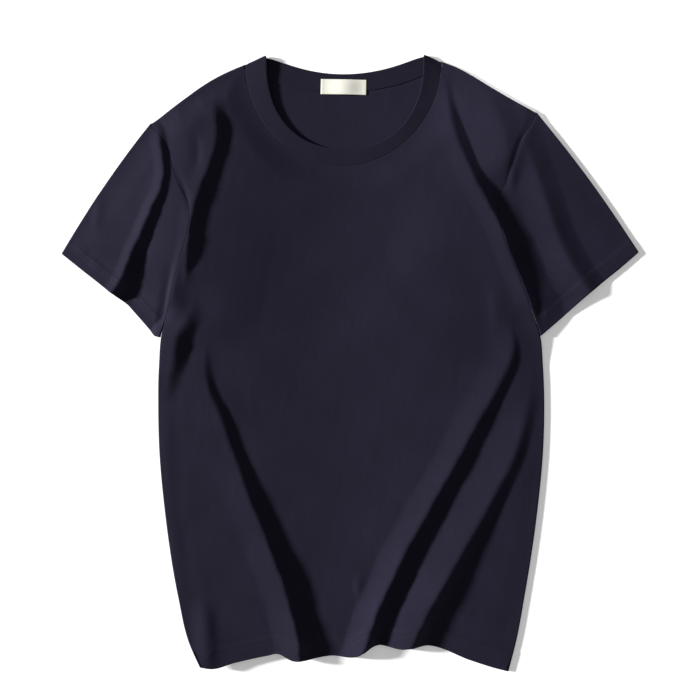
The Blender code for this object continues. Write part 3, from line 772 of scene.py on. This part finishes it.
# Cells of a panel's grid: along each shoulder, along the neckline, down the body, and in the
# close rows at the hem.
Cells = namedtuple("Cells", "shoulder neck rows band")
FRONT_CELLS = Cells(48, 104, 198, 20)
BACK_CELLS = Cells(34, 72, 116, 16)
RELAX = 0.4                     # share of the height in which the columns become evenly spaced
BAND_ROWS_HEIGHT = 25.0         # height above the hem that the close rows cover


def hem_level(x):
    """Level of the hem at places across the body."""
    return smooth(column(HEM, "across"), column(HEM, "along"), x)


def body_plan(neckline, cells):
    """Rows of plan points from the top edge down to the hem. At the top the columns follow the
    neckline's angles, lower down they are evenly spaced, and near the hem the rows lie close."""
    angles = np.linspace(0, np.pi, cells.neck + 1)
    neck = neck_seam(angles, neckline)
    top = np.concatenate([shoulder_seam(SHOULDER_LEFT, neck[0], LEFT_BOW, cells.shoulder), neck,
                          shoulder_seam(SHOULDER_RIGHT, neck[-1], RIGHT_BOW, cells.shoulder)[::-1]])
    even = np.linspace(0, 1, len(top))
    left, right = LEFT_EDGE(top[:, 1]), RIGHT_EDGE(top[:, 1])
    start = np.clip((top[:, 0] - left) / (right - left), 0, 1)
    start[0], start[-1] = 0, 1
    hem_x = HEM[0].across + even * (HEM[-1].across - HEM[0].across)
    hem_y = hem_level(hem_x)
    rows = [(part, (1 - part) * top[:, 1] + part * (hem_y + BAND_ROWS_HEIGHT))
            for part in np.linspace(0, 1, cells.rows, endpoint=False)]
    rows += [(1, hem_y + part * BAND_ROWS_HEIGHT) for part in np.linspace(1, 0, cells.band + 1)]
    plan = []
    for part, y in rows:
        drift = ease(part / RELAX)
        place = (1 - drift) * start + drift * even
        x = LEFT_EDGE(y) + place * (RIGHT_EDGE(y) - LEFT_EDGE(y))
        plan.append(np.stack([top[:, 0] if part == 0 else x, y], axis=-1))
    return np.array(plan)


def band_face(plan, line, width):
    """Distance of the cloth's face from the shared surface: a turned hem adds its thickness within
    `width` of the edge line, with a pressed step where it ends."""
    gap, _ = along_line(np.array(line, float), plan[..., 0], plan[..., 1])
    return FACE + BAND_THICKNESS * (1 - ease((np.abs(gap) - width) / PRESSED_STEP))


def body_panel(name, neckline, cells, height, facing):
    """The front or the back, rolled over along the shoulders and along the sides below the
    underarms, and folded along its other edges."""
    plan = body_plan(neckline, cells)
    rolled = np.ones(plan.shape[:2])
    rolled[-1, 1:-1] = 0
    rolled[0, cells.shoulder:cells.shoulder + cells.neck + 1] = 0
    rolled[:int(UNDERARM_SHARE * cells.rows), [0, -1]] = 0
    face = band_face(plan, HEM, LOOSE_HEM_BAND) if facing > 0 else FACE
    return panel(name, plan, height, facing, face, rolled, JERSEY)


# ---------------------------------------------------------------- sleeves

SLEEVE_COLUMNS = 96
SLEEVE_ROWS = 100
COLUMN_SKEW = 0.65              # how much closer the columns lie at the shoulder: 0 is evenly
TOP_BOW_FADE = 3                # power by which the top edge's bow fades towards the underarm
TURN_STEPS = 6                  # steps round the tube's two folds


def sleeve_plan(edge, shoulder, hem_end, cuff_table, outside):
    """Plan points of a sleeve's layer: rows from the armhole to the cuff, and columns from the
    shoulder to the underarm."""
    share = np.linspace(0, 1, SLEEVE_COLUMNS + 1)
    down = UNDERARM_SHARE * ((1 - COLUMN_SKEW) * share + COLUMN_SKEW * share ** 2)
    y = shoulder[1] + down * (hem_end[1] - shoulder[1])
    seam = np.stack([edge(y) + outside * SEAM_GAP, y], axis=-1)
    seam[0, 0] = shoulder[0] + outside * SEAM_GAP
    cuff_line = np.array(cuff_table, float)
    along = distances(cuff_line)
    cuff = between(share * along[-1], along, cuff_line)
    bow = square_to(cuff[0] - seam[0]) * outside * TOP_EDGE_BOW
    part = np.linspace(0, 1, SLEEVE_ROWS + 1)[:, None, None]
    bend = np.sin(np.pi * part) * ((1 - share) ** TOP_BOW_FADE)[None, :, None] * bow
    return (1 - part) * seam + part * cuff + bend


def sleeve(name, edge, shoulder, hem_end, cuff_table, outside):
    """A flattened tube from the armhole to the cuff. Each ring goes along the upper layer, round a
    half circle at the underarm, back along the lower layer, and round a half circle at the top."""
    plan = sleeve_plan(edge, shoulder, hem_end, cuff_table, outside)
    first = unit(plan[:, 0] - plan[:, 1])
    last = unit(plan[:, -1] - plan[:, -2])
    plan[:, 0] -= first * FACE / 2
    plan[:, -1] -= last * FACE / 2
    upper, upper_up = lift(plan, upper_height)
    lower, lower_up = lift(plan, relief)
    face = band_face(plan, cuff_table, CUFF_BAND)
    flat = [np.pad(side, ((0, 0), (0, 1))) for side in (first, last)]
    angles = np.linspace(0, np.pi, TURN_STEPS + 1)[1:-1]
    turn_last = np.stack([np.cos(a) * upper_up[:, -1] + np.sin(a) * flat[1] for a in angles], axis=1)
    turn_first = np.stack([-np.cos(a) * upper_up[:, 0] + np.sin(a) * flat[0] for a in angles], axis=1)
    held_last = np.repeat(upper[:, -1:], len(angles), axis=1)
    held_first = np.repeat(upper[:, :1], len(angles), axis=1)
    points = np.concatenate([upper, held_last, lower[:, ::-1], held_first], axis=1)
    outward = np.concatenate([upper_up, turn_last, -lower_up[:, ::-1], turn_first], axis=1)
    turn_face = np.full((len(plan), len(angles)), FACE)
    faces = np.concatenate([face, turn_face, np.full(face.shape, FACE), turn_face], axis=1)
    return tube(name, points, outward, faces, -outside, JERSEY)


# ---------------------------------------------------------------- the neck

RIB_ANGLES = 520
RIB_ROWS = 12
RIB_COUNT = 300                 # ribs round the whole collar, 1.8 mm apart
RIB_COLUMNS = RIB_COUNT * 5
RIB_DEPTH = 0.08                # height of a rib over the groove beside it, each way
RIM_PULL = 0.42                 # angle over which the rib's edge draws in beside its folds
RIB_FACE = 1.3
BACK_RIB_STEP = 0.65            # how far the back of the rib stands on its seam's turned edges
RIB_TURN_STEPS = 13             # steps round the rib's fold at each shoulder
TURN_LENGTH = 0.02              # length that a turn of the normals counts for in spacing columns


def away_from_neck(seam, rim):
    """Level direction square to the rib's folded edge, away from the neck."""
    edge = rim - seam
    return square_to(edge) * np.sign(edge[0])


def rib_layer(angles, share, seam_hang, rim_hang, pulls):
    """One line round a layer of the rib, at a share of the way from the seam to the free edge."""
    seam = neck_seam(angles, seam_hang)
    rim = neck_rim(angles, rim_hang)
    plan = (1 - share) * seam + share * rim + SEAM_GAP * unit(rim - seam)
    for end, from_end in ((0, angles), (-1, np.pi - angles)):
        fade = share * np.exp(-(from_end / RIM_PULL) ** 2)
        fade[end] = 1
        plan = plan - fade[:, None] * pulls[end] * away_from_neck(seam[end], rim[end])
    return lift(plan, relief)


def neck_rib():
    """The rib's ring: the front half on the front layer, rising to its free edge, and the back
    half on the back layer, turned over at both shoulders in half circles. Ribs run across it."""
    angles = np.linspace(0, np.pi, RIB_ANGLES + 1)
    rise = smooth(np.linspace(0, np.pi, len(RIM_RISE)), RIM_RISE, angles)
    turns = np.linspace(0, np.pi, RIB_TURN_STEPS + 1)[1:-1]
    ends = [neck_seam(angles, FRONT_SEAM), neck_rim(angles, FRONT_RIM)]
    step = BACK_RIB_STEP * np.sin(angles)
    steps = np.concatenate([0 * angles, 0 * turns, step[::-1], 0 * turns])
    rings, outwards, extra = [], [], []
    for share in np.linspace(0, 1, RIB_ROWS + 1):
        pulls = MIDDLE + share * rise[[0, -1]] / 2
        front, front_up = rib_layer(angles, share, FRONT_SEAM, FRONT_RIM, pulls)
        back, back_up = rib_layer(angles, share, BACK_SEAM, BACK_RIM, pulls)
        back[:, 2] += step
        back[[0, -1]], back_up[[0, -1]] = front[[0, -1]], front_up[[0, -1]]
        turned, turned_up = [], []
        for end in (-1, 0):
            over = np.append(away_from_neck(ends[0][end], ends[1][end]), 0)
            radius = share * rise[end] / 2
            round_up = np.array([np.cos(a) * front_up[end] + np.sin(a) * over for a in turns])
            round_up = round_up if end else round_up[::-1]
            turned.append(front[end] + [0, 0, radius] + radius * round_up)
            turned_up.append(round_up)
        front[:, 2] += share * rise
        ring = np.concatenate([front, turned[0], back[::-1], turned[1]])
        up = np.concatenate([front_up, turned_up[0], -back_up[::-1], turned_up[1]])
        along = distances(ring) + TURN_LENGTH * distances(up)
        at = np.linspace(0, along[-1], RIB_COLUMNS, endpoint=False)
        rings.append(between(at, along, ring))
        outwards.append(unit(between(at, along, up)))
        extra.append(np.interp(at, along, steps))
    points, outward = np.array(rings), np.array(outwards)
    ribs = np.cos(2 * np.pi * RIB_COUNT * np.arange(RIB_COLUMNS) / RIB_COLUMNS)
    face = RIB_FACE - RIB_DEPTH + RIB_DEPTH * ribs + np.array(extra)
    return tube("collar_rib", points, outward, face, -1, RIB)


LABEL_BOW = 1.6                 # how far the label bows up off the cloth
LABEL_FREE = 0.9                # share of its length that is free between its sewn ends
LABEL_LEAN = 0.7                # how much higher the bow is to the right of the middle
LABEL_EDGE_DROP = 0.35          # how much lower the bow is at the long edges
LABEL_TURN = 1.1                # degrees, clockwise
LABEL_CLOTH = 0.5
LABEL_CELLS = (60, 24)


def on_label(x, y):
    """Plan places of points measured from the label's middle along its own edges."""
    turn = np.radians(-LABEL_TURN)
    return (LABEL_CENTRE[0] + x * np.cos(turn) - y * np.sin(turn),
            LABEL_CENTRE[1] + x * np.sin(turn) + y * np.cos(turn))


def neck_label():
    """A satin label sewn down at its two ends, which bows up between them. The bow is a half wave
    along the label, lower towards its edges."""
    u = np.linspace(-0.5, 0.5, LABEL_CELLS[0] + 1)
    v = np.linspace(0.5, -0.5, LABEL_CELLS[1] + 1)
    across, along = np.meshgrid(u, v)
    x, y = on_label(across * LABEL_SIZE[0], along * LABEL_SIZE[1])
    half_wave = np.cos(np.pi * np.clip(across / LABEL_FREE, -0.5, 0.5)) ** 2
    bow = half_wave * (1 + LABEL_LEAN * across) * (1 - LABEL_EDGE_DROP * (2 * along) ** 2)
    points = np.stack([x, y, MIDDLE + SEAM_GAP + LABEL_BOW * bow], axis=-1)
    top = points + [0, 0, LABEL_CLOTH]
    rows, columns = points.shape[:2]
    loop = border(rows, columns)
    count = rows * columns
    sides = np.stack([loop, np.roll(loop, -1), count + np.roll(loop, -1), count + loop], axis=-1)
    faces = [grid_quads(rows, columns), grid_quads(rows, columns, count)[:, ::-1], sides]
    vertices = np.concatenate([top.reshape(-1, 3), points.reshape(-1, 3)])
    return new_piece("neck_label_satin", vertices, np.concatenate(faces), SATIN)


# ---------------------------------------------------------------- stitching

STITCH_SIDES = 6
STITCH_ENDS = np.array([-1.0, -0.8, -0.3, 0.3, 0.8, 1.0])
STITCH_GIRTHS = np.array([0.15, 0.75, 1.0, 1.0, 0.75, 0.15])
NEARBY = 0.5                    # how far to each side of a stitch its line's direction is read
# How far each twin row of stitches is from the edge of the hem or the cuff, and how far from the
# edge line's two ends it starts and stops.
HEM_ROWS, HEM_ROW_ENDS = (13.5, 19.0), (4.0, 4.0)
CUFF_ROWS, CUFF_ROW_ENDS = (9.5, 14.0), (3.0, 12.0)
LABEL_ROW_INSET = 2.6           # from each end of the label
LABEL_ROW_SHARE = 0.92          # of the label's height
LABEL_ROW_RISE = 0.05           # from the face of the label's ends to the line that stitches sink from
HEM_POINTS, CUFF_POINTS, LABEL_POINTS = 160, 90, 12     # on the lines that stitches follow


def stitch_faces(rings):
    """Faces of one stitch: its sides, and its two ends closed by four-cornered faces."""
    sides = grid_quads(rings, STITCH_SIDES, closed_columns=True)
    caps = np.array([[0, 1, 2, 3], [0, 3, 4, 5]])
    return np.concatenate([sides[:, ::-1], caps, caps[:, ::-1] + (rings - 1) * STITCH_SIDES])


def stitches(name, lines, material, length=2.2, spacing=2.9, radius=0.19, sink=0.13):
    """Rows of stitches along lines that lie on the cloth: each stitch is a short rounded rod along
    the line, mostly sunk into the cloth. lines are pairs of points and normals."""
    middles, runs, ups = [], [], []
    for points, normals in lines:
        gone = distances(points)
        at = np.arange(spacing / 2, gone[-1], spacing)
        ahead, behind = np.minimum(at + NEARBY, gone[-1]), np.maximum(at - NEARBY, 0)
        middles.append(between(at, gone, points))
        runs.append(unit(between(ahead, gone, points) - between(behind, gone, points)))
        ups.append(between(at, gone, normals))
    middle, run, up = (np.concatenate(part) for part in (middles, runs, ups))
    side = np.cross(up, run)
    angles = np.arange(STITCH_SIDES) / STITCH_SIDES * 2 * np.pi
    girth = radius * STITCH_GIRTHS[None, :, None, None]
    along = run[:, None, None] * (STITCH_ENDS * length / 2)[None, :, None, None]
    around = (side[:, None, None] * np.cos(angles)[None, None, :, None]
              + up[:, None, None] * np.sin(angles)[None, None, :, None]) * girth
    points = middle[:, None, None] - up[:, None, None] * sink + along + around
    one = len(STITCH_ENDS) * STITCH_SIDES
    faces = stitch_faces(len(STITCH_ENDS))[None] + (np.arange(len(middle)) * one)[:, None, None]
    return new_piece(name, points.reshape(-1, 3), faces.reshape(-1, 4), material)


def offset(line, distance):
    """A line moved sideways on the plan, to the left hand of someone who walks along it."""
    run = unit(np.gradient(line, axis=0))
    return line + distance * np.stack([-run[:, 1], run[:, 0]], axis=-1)


def twin_rows(line, rows, inward):
    """Lines on the face of a turned hem, beside its edge line, with the face's normals there."""
    lines = []
    for distance in rows:
        points, normals = lift(offset(line, inward * distance), upper_height)
        lines.append((points + normals * (FACE + BAND_THICKNESS), normals))
    return lines


def hem_stitching():
    """Two rows of stitches along the hem, as a twin needle leaves them."""
    first, last = HEM[0].across + HEM_ROW_ENDS[0], HEM[-1].across - HEM_ROW_ENDS[1]
    x = np.linspace(first, last, HEM_POINTS)
    line = np.stack([x, hem_level(x)], axis=-1)
    return stitches("hem_stitching", twin_rows(line, HEM_ROWS, 1), THREAD)


def cuff_stitching(name, cuff_table, inward):
    """Two rows of stitches along a cuff."""
    edge_line = np.array(cuff_table, float)
    along = distances(edge_line)
    at = np.linspace(CUFF_ROW_ENDS[0], along[-1] - CUFF_ROW_ENDS[1], CUFF_POINTS)
    line = between(at, along, edge_line)
    return stitches(name, twin_rows(line, CUFF_ROWS, inward), THREAD)


def label_stitching():
    """A column of short stitches near each end of the label."""
    lines = []
    level = MIDDLE + SEAM_GAP + LABEL_CLOTH + LABEL_ROW_RISE
    for end in (-1, 1):
        y = np.linspace(-0.5, 0.5, LABEL_POINTS) * LABEL_ROW_SHARE * LABEL_SIZE[1]
        x = np.full(len(y), end * (LABEL_SIZE[0] / 2 - LABEL_ROW_INSET))
        points = np.stack([*on_label(x, y), np.full(len(y), level)], axis=-1)
        lines.append((points, np.tile([0.0, 0.0, 1.0], (len(y), 1))))
    return stitches("label_stitching", lines, LABEL_THREAD, length=1.2, spacing=1.9, radius=0.22)


# ---------------------------------------------------------------- making the shirt

front = body_panel("front_jersey", FRONT_SEAM, FRONT_CELLS, upper_height, 1)
back = body_panel("back_jersey", BACK_SEAM, BACK_CELLS, relief, -1)
sleeve_left = sleeve("sleeve_left_jersey", LEFT_EDGE, SHOULDER_LEFT, HEM[0], LEFT_CUFF, -1)
sleeve_right = sleeve("sleeve_right_jersey", RIGHT_EDGE, SHOULDER_RIGHT, HEM[-1], RIGHT_CUFF, 1)
collar = neck_rib()
label = neck_label()
hem_thread = hem_stitching()
left_thread = cuff_stitching("cuff_stitching_left", LEFT_CUFF, 1)
right_thread = cuff_stitching("cuff_stitching_right", RIGHT_CUFF, -1)
label_thread = label_stitching()

for piece, node, slot in (
    (front, "front_panel", "jersey"),
    (back, "back_panel", "jersey"),
    (sleeve_left, "sleeve_left", "jersey"),
    (sleeve_right, "sleeve_right", "jersey"),
    (collar, "neck_rib", "rib"),
    (label, "neck_label", "label"),
):
    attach(piece, "root")
    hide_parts(node)
for piece, slot in ((hem_thread, "jersey"), (left_thread, "jersey"), (right_thread, "jersey"),
                    (label_thread, "label")):
    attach(piece, "root")


# ---------------------------------------------------------------- the studio

FLOOR_HALF = 20.0               # metres
CAMERA_HEIGHT = 1.8             # metres above the floor
VIEW_CENTRE = (-0.0002, 0.0141)
VIEW_WIDTH = 0.756              # metres of floor across the picture
SENSOR = 36.0
SUN_ELEVATION = 16.0            # degrees above the floor
SUN_HEADING = 172.0             # degrees anticlockwise from +X to where the light comes from
SUN_SIZE = 6.0                  # degrees across
SUN_STRENGTH = 10.4
SKY_STRENGTH = 0.26
FLOOR_PAINTED_GLOW = 0.25               # painted glow that the floor gives off by itself, which lightens the shadows on it
KICKER_PLACE = (0.16, 0.78, 1.3)
KICKER_TARGET = (0.142, 0.272, 0.0)
KICKER_REACH = 0.085            # radius of its pool of light, in metres
KICKER_POWER = 34.0
KICKER_SIZE = 0.02              # radius of the lamp, in metres


def kicker():
    """A weak snooted lamp from beyond the neck, on the right shoulder."""
    away = mathutils.Vector(KICKER_PLACE) - mathutils.Vector(KICKER_TARGET)
    spot = bpy.data.lights.new("shoulder_kicker", "SPOT")
    spot.energy = KICKER_POWER
    spot.spot_size = 2 * np.arctan(KICKER_REACH / away.length)
    spot.spot_blend = 1.0
    spot.shadow_soft_size = KICKER_SIZE
    lamp = bpy.data.objects.new("shoulder_kicker", spot)
    lamp.location = KICKER_PLACE
    lamp.rotation_euler = away.to_track_quat("Z", "Y").to_euler()
    bpy.context.scene.collection.objects.link(lamp)


def studio():
    """A white table, one large soft lamp low on the left, a kicker on the right shoulder, and an
    even pale surround."""
    corners = np.array([[-1, 1, 0], [-1, -1, 0], [1, -1, 0], [1, 1, 0]]) * FLOOR_HALF / MM
    floor = new_piece("floor", corners - SHIFT, [[0, 1, 2, 3]], glowing_floor("white_floor_painted_glow"))
    kicker()
    world = bpy.data.worlds.new("studio")
    world.use_nodes = True
    background = world.node_tree.nodes["Background"]
    background.inputs["Color"].default_value = (1, 1, 1, 1)
    background.inputs["Strength"].default_value = SKY_STRENGTH
    bpy.context.scene.world = world
    sun = bpy.data.lights.new("soft_lamp", "SUN")
    sun.energy = SUN_STRENGTH
    sun.angle = np.radians(SUN_SIZE)
    lamp = bpy.data.objects.new("soft_lamp", sun)
    lamp.rotation_euler = (0, np.radians(90 - SUN_ELEVATION), np.radians(SUN_HEADING))
    bpy.context.scene.collection.objects.link(lamp)


def camera():
    """Straight above the shirt."""
    data = bpy.data.cameras.new("camera")
    data.sensor_width = SENSOR
    data.lens = SENSOR * CAMERA_HEIGHT / VIEW_WIDTH
    made = bpy.data.objects.new("camera", data)
    made.location = (*VIEW_CENTRE, CAMERA_HEIGHT)
    bpy.context.scene.collection.objects.link(made)
    bpy.context.scene.camera = made


studio()
camera()
bpy.context.scene.view_settings.view_transform = "Standard"

bpy.context.view_layer.update()
